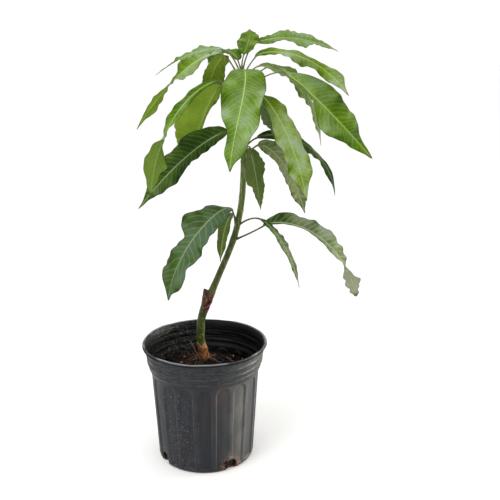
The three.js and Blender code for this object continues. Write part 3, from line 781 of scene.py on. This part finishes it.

# ---------------------------------------------------------------- leaves
# Each leaf grows by one rule: a petiole leaves the stem at a height and a heading, then a leathery
# blade droops from its end, folded along its midrib, waved at its margin and drawn out to a drip tip.

# at and heading say where the petiole leaves the stem: a height, and degrees from +X. rise, level and fall
# are the tilt at the stem, at the blade's base and at its tip, and bend says how soon the blade falls.
# sweep turns the blade sideways; roll, and twist round the place twist_at, turn it about its midrib.
# widest is the place where it is widest, and point says how far its end narrows. fold lifts its halves,
# wave and waves shape the margin's waves, and frill its crinkle. Each of the edges is a side, a place
# along the blade, a spread and how much wider the blade is there. tone runs from base to tip, and from
# deep green to fresh green and then to a pale painted sheen; bloom greys that painted sheen, and rib
# widens the pale midrib.
usual_leaf = dict(
    widest=0.42, point=0.75, twist=0, twist_at=0.55, fold=14, wave=0.14, waves=3, tone=(0.3, 0.3, 0.3),
    bloom=0, vein_gap=10.5, rib=1, frill=1, edges=(),
)
leaf_columns = (
    "skin", "at", "heading", "petiole", "rise", "level", "fall", "bend", "sweep", "length", "width", "roll",
)
leaves = {
    "crown_leaf_01": ["full", 768, -82, 42, 50, -12, -85, 0.6, -62, 215, 82, 0, dict(
        widest=0.38, point=0.6, tone=(0.42, 0.54, 0.38), bloom=0.8, frill=0.4, vein_gap=8.5,
        edges=[(-1, 0.7, 0.13, -0.5), (-1, 0.9, 0.06, 0.2), (1, 0.74, 0.16, 0.3), (1, 0.88, 0.08, 0.3)])],
    "crown_leaf_02": ["full", 742, -17, 90, 43, -7, -48, 0.15, 7, 230, 74, 48, dict(
        widest=0.55, tone=(0.98, 0.3, 0.24), bloom=0.5, frill=0.4, vein_gap=9.5,
        edges=[(-1, 0.2, 0.25, -0.95), (-1, 0.58, 0.12, 0.4), (-1, 0.78, 0.1, -0.3), (1, 0.25, 0.12, 0.4),
        (1, 0.46, 0.1, 0.05), (1, 0.83, 0.12, -0.6)])],
    "crown_leaf_03": ["young", 763, 8, 46, 58, 12, -84, 0.5, -10, 210, 46, 20, dict(
        tone=(0.82, 0.4, 1), bloom=0.6, edges=[(-1, 0.4, 0.3, 0.05), (1, 0.6, 0.25, 0.5)])],
    "crown_leaf_04": ["young", 773, 0, 44, 60, 49, -45, 0.37, -51, 212, 50, 24, dict(
        wave=0.18, tone=(0.1, 0.8, 0.25, 0.3, 0.95), bloom=0.9, edges=[(-1, 0.15, 0.15, -0.4),
        (1, 0.5, 0.4, -0.4), (1, 0.45, 0.08, -0.35), (1, 0.83, 0.08, 0.5)])],
    "crown_leaf_05": ["full", 778, 42, 72, 74, 15, -24, 0.9, -21, 202, 58, 28, dict(
        wave=0.12, tone=(0.38, 0.68, 0.7), bloom=0.75, edges=[(1, 0.14, 0.2, -0.5), (1, 0.42, 0.06, -0.15),
        (1, 0.6, 0.1, 0.25), (1, 0.78, 0.06, -0.3), (1, 0.87, 0.05, 0.5), (-1, 0.25, 0.14, -0.5),
        (-1, 0.5, 0.1, 0.3), (-1, 0.76, 0.1, -0.4)])],
    "crown_leaf_06": ["young", 790, 48, 26, 82, 60, 34, 1, 52, 64, 43, 0, dict(
        point=0.95, tone=(0.06, 0.26, 0.26), rib=0.35, frill=0.8)],
    "crown_leaf_07": ["full", 774, -147, 64, 66, 20, -38, 0.5, -20, 143, 34, -20, dict(
        twist=24, twist_at=0.6, tone=(1, 0.5, 0.5), bloom=1, frill=1.6, edges=[(-1, 0.5, 0.3, -0.3)])],
    "crown_leaf_08": ["young", 765, 172, 65, 62, 34, -58, 0.22, 7, 228, 54, -45, dict(
        twist=85, twist_at=0.53, wave=0.22, tone=(1, 0.06, 0.06), bloom=1, frill=1.9,
        edges=[(1, 0.15, 0.15, -0.6), (1, 0.4, 0.12, 0.2), (1, 0.75, 0.2, -0.6), (-1, 0.75, 0.15, -0.2)])],
    "crown_leaf_09": ["young", 748, 144, 74, 68, 39, -86, 0.22, -30, 135, 64, 12, dict(
        edges=[(1, 0.45, 0.4, -0.45), (-1, 0.35, 0.3, -0.1)])],
    "crown_leaf_10": ["full", 742, -155, 55, 41, 0, -85, 0.5, -3, 263, 60, -35, dict(
        widest=0.55, point=0.55, twist=85, twist_at=0.52, tone=(0.2, 0.4, 0.36), bloom=0.8, frill=1.6,
        edges=[(-1, 0.15, 0.1, -0.3), (-1, 0.3, 0.12, -0.6), (1, 0.25, 0.25, -0.65), (-1, 0.88, 0.12, 0.75),
        (1, 0.9, 0.12, 0.5)])],
    "crown_leaf_11": ["young", 731, 151, 58, 52, -24, -71, 0.2, -15, 184, 66, 30, dict(
        frill=1.8, edges=[(-1, 0.45, 0.4, -0.8), (1, 0.5, 0.4, 0.7)])],
    "crown_leaf_12": ["young", 730, -52, 54, 32, -16, -77, 0.5, 14, 226, 60, 10, dict(
        widest=0.58, tone=(0.26, 0.82, 0.74), bloom=0.65, vein_gap=9, edges=[(1, 0.14, 0.12, 0.9),
        (1, 0.42, 0.12, -0.15)])],
    # Leaf 13 takes the palest tone all along: painted light where leaves 01 and 12 shade it.
    "crown_leaf_13": ["young", 722, -48, 40, 30, -10, -76, 0.5, 20, 118, 50, 10, dict(
        tone=(1, 1, 1), bloom=0.7)],
    "crown_leaf_14": ["full", 744, 120, 34, 40, -30, -88, 0.6, 0, 80, 34, -20, dict()],
    "crown_leaf_15": ["full", 779, 132, 28, 72, 58, -50, 0.7, 0, 102, 50, 0, dict(tone=(0.24, 0.24, 0.24))],
    "crown_leaf_16": ["full", 752, 34, 74, 42, 14, -66, 0.6, 0, 140, 42, 0, dict()],
    "crown_leaf_17": ["full", 746, 84, 46, 58, 10, -84, 0.5, 0, 165, 54, 0, dict()],
    "crown_leaf_18": ["full", 736, 97, 46, 48, 5, -84, 0.5, 0, 150, 50, 0, dict()],
    "middle_leaf_01": ["dark", 646, -176, 42, 57, 3, -52, 0.25, -6, 233, 80, -44, dict(
        tone=(0.38, 0.3, 0.6), bloom=0.2, edges=[(1, 0.3, 0.3, -0.45), (1, 0.87, 0.07, -0.45),
        (-1, 0.92, 0.08, -0.4)])],
    "middle_leaf_02": ["dark", 642, 8, 32, 46, 19, -86, 0.85, -14, 220, 44, 28, dict(
        tone=(0.12, 0.62, 0.04), edges=[(1, 0.55, 0.3, -0.75)])],
    "middle_leaf_03": ["dark", 636, 65, 31, 30, -54, -84, 0.4, -38, 134, 56, 0, dict(
        edges=[(1, 0.5, 0.4, 0.35), (-1, 0.6, 0.3, -0.3)])],
    "middle_leaf_04": ["dusk", 630, -18, 34, 36, 32, -76, 0.25, 6, 168, 50, 48, dict(
        tone=(0.44, 1, 0.4), frill=2, edges=[(-1, 0.35, 0.3, -0.5)])],
    "lower_leaf_01": ["dark", 478, -117, 50, 84, 43, -82, 0.43, -66, 250, 64, -20, dict(
        widest=0.6, point=0.42, tone=(0.82, 0.92, 0.38), bloom=1, vein_gap=14,
        edges=[(-1, 0.06, 0.09, -0.7), (-1, 0.17, 0.06, 0.7), (-1, 0.4, 0.09, 0.8), (-1, 0.52, 0.05, -0.4),
        (-1, 0.62, 0.08, -0.15), (-1, 0.88, 0.12, 1.2), (1, 0.6, 0.35, 0.2), (1, 0.78, 0.08, 0.3),
        (1, 0.88, 0.1, 0.6)])],
    "lower_leaf_02": ["dark", 488, 119, 32, 72, -5, -78, 0.3, -13, 140, 26, 0, dict()],
    "lower_leaf_03": ["dusk", 460, -14, 68, 26, 34, -80, 0.6, 20, 264, 46, 52, dict(
        widest=0.55, point=0.5, twist=-120, twist_at=0.76, tone=(0.1, 0.82, 0.14), bloom=0.8, frill=2.4,
        edges=[(-1, 0.3, 0.42, -0.85), (1, 0.12, 0.14, 0.5), (1, 0.92, 0.08, 0.8), (-1, 0.92, 0.08, 0.8),
        (1, 0.87, 0.013, -0.2), (1, 0.905, 0.012, 0.15), (1, 0.935, 0.01, -0.25), (1, 0.965, 0.012, 0.5),
        (-1, 0.85, 0.02, 0.25), (-1, 0.905, 0.012, -0.15), (-1, 0.945, 0.012, -0.2),
        (-1, 0.975, 0.015, 0.4)])],
    "lower_leaf_04": ["dusk", 490, -36, 58, 34, -8, -78, 0.5, 10, 160, 20, 10, dict(
        tone=(0, 0.52, 0.26), bloom=1, frill=1.7)],
}
petiole_steps = 9
blade_steps = 40
half_across = np.array([0, 0.05, 0.11, 0.19, 0.29, 0.4, 0.52, 0.64, 0.76, 0.87, 0.95, 1.0])
blade_across = np.concatenate([-half_across[:0:-1], half_across])
blade_thickness = 0.55
blade_row, stalk_row = 1.7, 1.6  # the steps between rows of points
twist_span = 0.22  # how far the twist is spread to either side of its place
quilt_depth = 0.13
rib_plain_at = 60  # the width of a blade whose midrib is drawn as it is, neither widened nor narrowed
rib_run = 0.14  # how far the petiole runs on under the blade, as a share of its length
green_petioles = ("young", "full")


def between(rows, where):
    """Reads rows of points at fractional places, along a smooth curve through them."""
    last = len(rows) - 1
    low = np.clip(np.floor(where).astype(int), 0, last - 1)
    t = (where - low)[:, None]
    before, after = rows[np.maximum(low - 1, 0)], rows[np.minimum(low + 2, last)]
    start, end = rows[low], rows[low + 1]
    bend = 2 * before - 5 * start + 4 * end - after
    swing = 3 * start - before - 3 * end + after
    return 0.5 * (2 * start + (end - before) * t + bend * t**2 + swing * t**3)


def midrib_of(leaf):
    """The leaf's midrib as small steps: their places, sides and upper faces' directions."""
    i = np.arange(petiole_steps + blade_steps + 1)
    along = np.clip((i - petiole_steps) / blade_steps, 0, 1)
    on_petiole = leaf["rise"] + (leaf["level"] - leaf["rise"]) * (i / petiole_steps) ** 2
    on_blade = leaf["level"] + (leaf["fall"] - leaf["level"]) * along ** leaf["bend"]
    tilt = np.radians(np.where(i > petiole_steps, on_blade, on_petiole))
    heading = np.radians(leaf["heading"] + leaf["sweep"] * along)
    turn = smooth_share(along, leaf["twist_at"] - twist_span, leaf["twist_at"] + twist_span)
    roll = np.radians(leaf["roll"] * np.minimum(1, i / petiole_steps) + leaf["twist"] * turn)[:, None]
    ahead = np.stack([np.cos(tilt) * np.cos(heading), np.cos(tilt) * np.sin(heading), np.sin(tilt)], axis=1)
    level = np.stack([-np.sin(heading), np.cos(heading), 0 * heading], axis=1)
    side = level * np.cos(roll) + np.cross(ahead, level) * np.sin(roll)
    step = np.where(i < petiole_steps, leaf["petiole"] / petiole_steps, leaf["length"] / blade_steps)
    start = np.array([stem_x(leaf["at"]), 0, leaf["at"]])
    places = start + np.concatenate([[np.zeros(3)], np.cumsum(ahead * step[:, None], axis=0)[:-1]])
    return places, side, np.cross(ahead, side)


def half_width(leaf, along):
    """Half the blade's width: widest at its own place, and drawn out to a drip tip."""
    ahead = leaf["point"]
    behind = ahead * leaf["widest"] / (1 - leaf["widest"])
    swell = along**behind * (1 - along) ** ahead
    most = leaf["widest"] ** behind * (1 - leaf["widest"]) ** ahead
    drawn = 1 - 0.5 * smooth_share(along, 0.8, 0.96)
    return np.maximum(0.9, 0.5 * leaf["width"] * drawn * swell / most)


def ripple(seed, along, waves):
    """A gentle irregular wave, different for each seed."""
    random.seed(seed)
    total = 0
    for _ in range(4):
        turns, start = random.uniform(0.6, 1.5) * waves, random.uniform(0, 6.28)
        total = total + random.uniform(0.5, 1) * np.sin(6.28 * turns * along + start)
    return total / 2


def blade_sheet(leaf, seed):
    """The blade's upper and lower sheets, as rows of points from base to tip, and what its skin reads."""
    places, sides, faces_up = midrib_of(leaf)
    rows = round(leaf["length"] / blade_row)
    along = np.arange(rows + 1) / rows
    where = petiole_steps + along * blade_steps
    place, side, face = between(places, where), between(sides, where), between(faces_up, where)
    side /= np.linalg.norm(side, axis=1)[:, None]
    face /= np.linalg.norm(face, axis=1)[:, None]

    # The outline: half the width on either side, its bays and lobes, and a finer crinkle.
    across = blade_across[None, :]
    out, hand, length = np.abs(across), np.sign(across), along[:, None]
    right = hand > 0
    reach = half_width(leaf, along)[:, None] + 0 * across
    for edge_hand, at, spread, wider in leaf["edges"]:
        reach = reach * (1 + wider * np.exp(-(((length - at) / spread) ** 2)) * (hand == edge_hand))
    crinkle = 0.03 * ripple(seed, length + 7 * right, 5) + 0.018 * ripple(seed + 20, length + 7 * right, 15)
    reach = reach * (1 + leaf["frill"] * crinkle * (1 - length ** leaf["frill"]))

    # The lift: the fold along the midrib, the margin's waves and crimp, and a slight droop outwards.
    fold = math.radians(leaf["fold"])
    turns = 2 * math.pi * (leaf["waves"] * length + np.where(right, 0, 0.37))
    margin = leaf["wave"] * np.sin(math.pi * length) ** 0.5 * out**1.6 * np.sin(turns)
    crimp = 0.07 * leaf["frill"] * out**2.5 * ripple(seed + 50, length + 3 * right, 8)
    crimp = crimp * smooth_share(length, 0.02, 0.12)
    lift = reach * (out * math.sin(fold) + margin + crimp - 0.16 * out**2)
    flat = reach * across * math.cos(fold)

    # The blade's own relief: quilting between side veins, a raised rib below, and thin margins.
    from_rib = reach * out
    vein = (length * leaf["length"] - 0.5 * from_rib - 0.006 * from_rib**2) / leaf["vein_gap"]
    vein = vein + np.where(right, 0.5, 0) + 0.3 * ripple(seed + 90, length, 4)
    quilt = quilt_depth * smooth_share(from_rib, 1, 6) * (1 - out**4)
    quilt = quilt * (0.5 - 0.5 * np.cos(2 * math.pi * vein))
    rib = np.exp(-((from_rib / (1.5 - 0.9 * length)) ** 2)) * (1.5 - 1.3 * length)
    ends = smooth_share(length, 0, 0.03) * smooth_share(-length, -1, -0.98)
    thick = blade_thickness * (1 - out**8) * ends

    def sheet(above):
        up = lift + quilt + above
        return place[:, None, :] + side[:, None, :] * flat[..., None] + face[:, None, :] * up[..., None]

    upper = sheet(thick / 2)
    lower = sheet(-thick / 2 - rib * ends)
    # Painted sheen: the tone rises where the blade faces up more than its midrib does.
    facing = np.cross(np.gradient(upper, axis=0), np.gradient(upper, axis=1))
    facing = facing[..., 2] / np.linalg.norm(facing, axis=2) - face[:, 2:]
    tone = np.interp(length, np.linspace(0.1, 0.9, len(leaf["tone"])), leaf["tone"]) + 1.1 * facing
    rib_share = from_rib * (rib_plain_at / leaf["width"]) ** 0.5 / leaf["rib"]
    numbers = dict(along=length, from_rib=rib_share, vein=vein, from_edge=reach * (1 - out), tone=tone)
    return upper, lower, flat, numbers


def corners_of(grid):
    """The four corners of each cell of a grid, in order round the cell."""
    return np.stack([grid[:-1, :-1], grid[1:, :-1], grid[1:, 1:], grid[:-1, 1:]], axis=2)


def make_leaf(name, leaf, seed):
    """A leaf: the blade's two sheets, which share their margin, and the petiole, all unrolled on one map."""
    upper, lower, flat, numbers = blade_sheet(leaf, seed)
    places, _, faces_up = midrib_of(leaf)
    rows, columns = upper.shape[0] - 1, upper.shape[1]
    top = np.arange((rows + 1) * columns).reshape(rows + 1, columns)
    under = top.copy()
    under[1:-1, 1:-1] = np.arange((rows - 1) * (columns - 2)).reshape(rows - 1, columns - 2) + top.size
    points = np.concatenate([upper.reshape(-1, 3), lower[1:-1, 1:-1].reshape(-1, 3)])

    share_up = flat / (np.abs(flat).max() * 1.05)
    map_top = np.stack([0.02 + 0.96 * numbers["along"] + 0 * flat, 0.22 + 0.18 * share_up], axis=-1)
    quads_top, quads_under = corners_of(top).reshape(-1, 4), corners_of(under).reshape(-1, 4)[:, ::-1]
    spots_top = corners_of(map_top).reshape(-1, 4, 2)
    spots_under = corners_of(map_top + [0, 0.4]).reshape(-1, 4, 2)[:, ::-1]
    stalk, stalk_faces, stalk_spots = make_petiole(leaf, places, faces_up)
    quads = quads_top.tolist() + quads_under.tolist()
    spots = np.concatenate([spots_top.reshape(-1, 2), spots_under.reshape(-1, 2), stalk_spots])

    stalk_skin = fresh_petiole if leaf["skin"] in green_petioles else old_petiole
    shape = joined([(points, quads), (stalk, stalk_faces)])
    piece = mesh_piece(name, *shape, leaf_skins[leaf["skin"]], stalk_skin)
    piece.data.polygons.foreach_set("material_index", [0] * len(quads) + [1] * len(stalk_faces))
    unrolled = piece.data.uv_layers.new(name="OFBake")
    unrolled.data.foreach_set("uv", spots.ravel())

    numbers["bloom"] = leaf["bloom"]
    for title, values in numbers.items():
        values = values + np.zeros((rows + 1, columns))
        on_points = [values.ravel(), values[1:-1, 1:-1].ravel(), np.zeros(len(stalk))]
        set_numbers(piece, **{title: np.concatenate(on_points)})
    sides = [0.0] * len(quads_top) + [1.0] * len(quads_under) + [0.0] * len(stalk_faces)
    set_numbers(piece, "FACE", underside=sides)
    return piece


def make_petiole(leaf, places, faces_up):
    """The leaf's stalk, swollen where it joins the stem, running on under the blade as its rib."""
    sides = 12
    sunk = round(blade_steps * rib_run)
    rows = round((leaf["petiole"] + leaf["length"] * rib_run) / stalk_row)
    where = np.linspace(0, petiole_steps + sunk, rows)
    route, over = between(places, where), between(faces_up, where)
    on_petiole = np.minimum(1, where / petiole_steps)
    radius = np.interp(on_petiole, [0, 0.1, 0.28, 0.8, 1], [2.5, 2.1, 1.5, 1.25, 1.45])
    radius = radius * (1 - 0.65 * smooth_share(where, petiole_steps, petiole_steps + sunk))
    radius = radius * (1 if leaf["skin"] in green_petioles else 1.25)  # an older stalk is thicker
    route = route - over * 0.7 * smooth_share(where, petiole_steps - 1, petiole_steps + 2)[:, None]
    points, faces = strand(route, radius, sides)
    u, v = np.meshgrid(np.linspace(0, 1, rows), np.linspace(0, 1, sides + 1), indexing="ij")
    grid = np.stack([u, v], axis=-1)
    spots = corners_of(grid)[:, :, [0, 3, 2, 1]].reshape(-1, 2)
    spots = np.concatenate([spots, grid[0, :-1], grid[-1, :-1]])
    return points, faces, spots * [0.96, 0.12] + [0.02, 0.85]


# The skin of a leaf: a pale midrib, side veins that curve forward to the margin, a painted sheen that
# greys the green between them, and a duller underside.
shades = ("Blade", "Fresh", "Wax", "Bloom", "Vein", "Underside")
tissue, taken, given = new_group(
    "leaf tissue",
    {**{title: linear(0) for title in shades}, "Veins": 0.1},
    {"Colour": "NodeSocketColor", "Roughness": "NodeSocketFloat", "Height": "NodeSocketFloat"},
)
along = stored(tissue, "along")
under = stored(tissue, "underside")
tone = stored(tissue, "tone")
mottle = patchy(tissue, size=30, soft=0.25, shift=1)
speckle = patchy(tissue, size=3, soft=0.25, shift=2)
rib_width = reckon(tissue, "SUBTRACT", 1.0, times(tissue, along, 0.65))
rib_share = reckon(tissue, "DIVIDE", stored(tissue, "from_rib"), rib_width)
midrib = rise(tissue, rib_share, 1.3, 0.6)
beside = rise(tissue, rib_share, 7.0, 1.0)
place_on_vein = reckon(tissue, "FRACT", stored(tissue, "vein"))
between_veins = reckon(tissue, "ABSOLUTE", reckon(tissue, "SUBTRACT", place_on_vein, 0.5))
inland = rise(tissue, stored(tissue, "from_edge"), 0.5, 7.0)
side_vein = times(tissue, rise(tissue, between_veins, 0.44, 0.49), inland)
quilting = rise(tissue, between_veins, 0.05, 0.45)
# Painted sheen: a pale green, greyed by its own share, laid over the fresh green where the tone is high.
wax = blend(tissue, stored(tissue, "bloom"), taken["Wax"], taken["Bloom"])
fresh = times(tissue, tone, scaled(tissue, mottle, 0.4, 1.6))
colour = washed(tissue, taken["Blade"], (taken["Fresh"], fresh), (wax, fresh, fresh))
flush = scaled(tissue, patchy(tissue, size=38, soft=0.3, shift=5), 0.8, 1.2)
colour = add(tissue, "HueSaturation", {"Saturation": flush, "Color": colour}).outputs["Color"]
shaded = times(tissue, reckon(tissue, "SUBTRACT", 1.0, mottle), 0.3)
colour = washed(
    tissue,
    colour,
    (taken["Vein"], quilting, taken["Veins"], 0.3),
    (blend(tissue, shaded, taken["Underside"], taken["Blade"]), under),
    (0x142808, speckle, 0.2),
    (taken["Vein"], beside, 0.1),
    (taken["Vein"], side_vein, taken["Veins"], scaled(tissue, tone, 1.5, 5.5)),
    (taken["Vein"], midrib, 0.85),
    (0x20300E, rise(tissue, stored(tissue, "from_edge"), 1.8, 0.3), 0.6),  # the margin
    (0x2A2416, rise(tissue, along, 0.955, 0.995), 0.75),  # the dry tip
)
tissue.links.new(colour, given["Colour"])
gloss = reckon(tissue, "ADD", times(tissue, under, 0.2), times(tissue, speckle, 0.08))
tissue.links.new(reckon(tissue, "ADD", gloss, 0.42), given["Roughness"])
netting = patchy(tissue, size=2.2, soft=0.3, shift=3)
raised = reckon(tissue, "ADD", times(tissue, netting, 0.25), times(tissue, side_vein, -0.3))
tissue.links.new(reckon(tissue, "ADD", raised, times(tissue, midrib, 0.6)), given["Height"])


def leaf_skin(name, veins, *colours):
    """A leaf's material: how strongly its veins show, and its six shades."""
    material, tree = new_material(name, IOR=1.4, Specular_IOR_Level=0.05)
    values = {title: linear(colour) for title, colour in zip(shades, colours)}
    look = add(tree, "Group", {"Veins": veins, **values}, node_tree=tissue).outputs
    relief = bump(tree, look["Height"], 0.16)
    return dressed(material, look["Colour"], Roughness=look["Roughness"], Normal=relief)


# The third and fourth shades are painted sheen, plain and greyed.
leaf_skins = {
    "young": leaf_skin("young_leaf", 0.08, 0x3E5C04, 0x869C1A, 0x8A9E5C, 0x8EA088, 0xA6C06A, 0x84A034),
    "full": leaf_skin("full_leaf", 0.1, 0x365604, 0x789618, 0x7C9856, 0x84997E, 0xA2BC6E, 0x748E3A),
    "dark": leaf_skin("dark_leaf", 0.075, 0x112C03, 0x465E10, 0x4A602E, 0x4C624A, 0x96A67A, 0x5A6C32),
    "dusk": leaf_skin("dusk_leaf", 0.22, 0x24400C, 0x7C885C, 0x868F64, 0x8A947C, 0xA2AC84, 0x9CA087),
}


def petiole_bark(name, green, brown):
    material, tree = new_material(name, Roughness=0.5, Specular_IOR_Level=0.2)
    colour = blend(tree, patchy(tree, size=7, soft=0.15, shift=11), green, brown)
    return dressed(material, colour, Normal=bump(tree, dict(size=1.5, soft=0.3, shift=12), 0.1))


fresh_petiole = petiole_bark("fresh_petiole", 0x68723C, 0x665F48)
old_petiole = petiole_bark("old_petiole", 0x465222, 0x50502E)
for seed, (node, (*row, unusual)) in enumerate(leaves.items()):
    leaf = {**usual_leaf, **dict(zip(leaf_columns, row)), **unusual}
    piece = make_leaf(node + "_blade", leaf, seed)
    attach(piece, "root")
    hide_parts(node)

# ---------------------------------------------------------------- studio
# A pale floor under a bright even sky, with a broad soft lamp on the left and a narrow low one on the
# right that grazes the pot.

floor_mesh = bpy.data.meshes.new("floor")
floor_mesh.from_pydata([(-30, -30, 0), (30, -30, 0), (30, 30, 0), (-30, 30, 0)], [], [(0, 1, 2, 3)])
floor = bpy.data.objects.new("floor", floor_mesh)
bpy.context.scene.collection.objects.link(floor)
floor_mesh.materials.append(new_material("pale_floor", Roughness=0.8, Base_Color=linear(0xFAFAF9))[0])


def soft_lamp(name, place, aim, size, power, beam=180, shade=0xFFFFFF):
    """A round lamp at a place in metres, turned to what it lights."""
    data = bpy.data.lights.new(name, "AREA")
    data.shape, data.size, data.energy, data.spread = "DISK", size, power, math.radians(beam)
    data.color = linear(shade)[:3]
    lamp = bpy.data.objects.new(name, data)
    lamp.location = place
    lamp.rotation_euler = (Vector(aim) - Vector(place)).to_track_quat("-Z", "Y").to_euler()
    bpy.context.scene.collection.objects.link(lamp)


soft_lamp("key_lamp", (-1.3, -1.5, 2.3), (0.05, 0, 0.5), size=1.8, power=34)
soft_lamp("side_lamp", (1.4, 0.3, 0.12), (0, 0, 0.06), size=0.8, power=3.3, beam=22, shade=0xFFF8EC)
sky = bpy.data.worlds.new("sky")
sky.use_nodes = True
sky.node_tree.nodes["Background"].inputs["Color"].default_value = (1, 1, 1, 1)
sky.node_tree.nodes["Background"].inputs["Strength"].default_value = 1.05
bpy.context.scene.world = sky
bpy.context.scene.view_settings.view_transform = "Standard"
